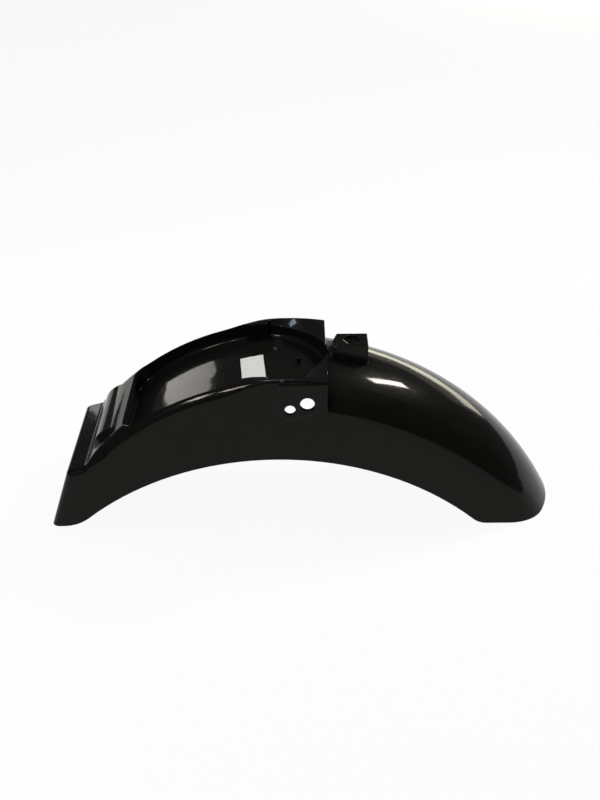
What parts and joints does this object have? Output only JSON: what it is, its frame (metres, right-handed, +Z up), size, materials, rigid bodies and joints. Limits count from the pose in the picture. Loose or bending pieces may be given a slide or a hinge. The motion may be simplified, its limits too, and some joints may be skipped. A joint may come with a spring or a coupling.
{
  "type": "inner rear mudguard",
  "caption": "Gloss black moulded motorbike inner rear mudguard: arched shell with a round crown, open tray under the seat, seat boss and holed side pads.",
  "frame": {"origin": "on the ground midway between the front lip and the tail, on the plane of symmetry", "axes": "+X towards the tail, +Y across the wheel, +Z up"},
  "size_m": [0.731, 0.191, 0.2525],
  "materials": {
    "gloss_black": "high gloss with fine scratches",
    "label_paper": "matt paper"
  },
  "bodies": {
    "root": {"mudguard": "gloss_black", "label": "label_paper"}
  },
  "joints": []
}
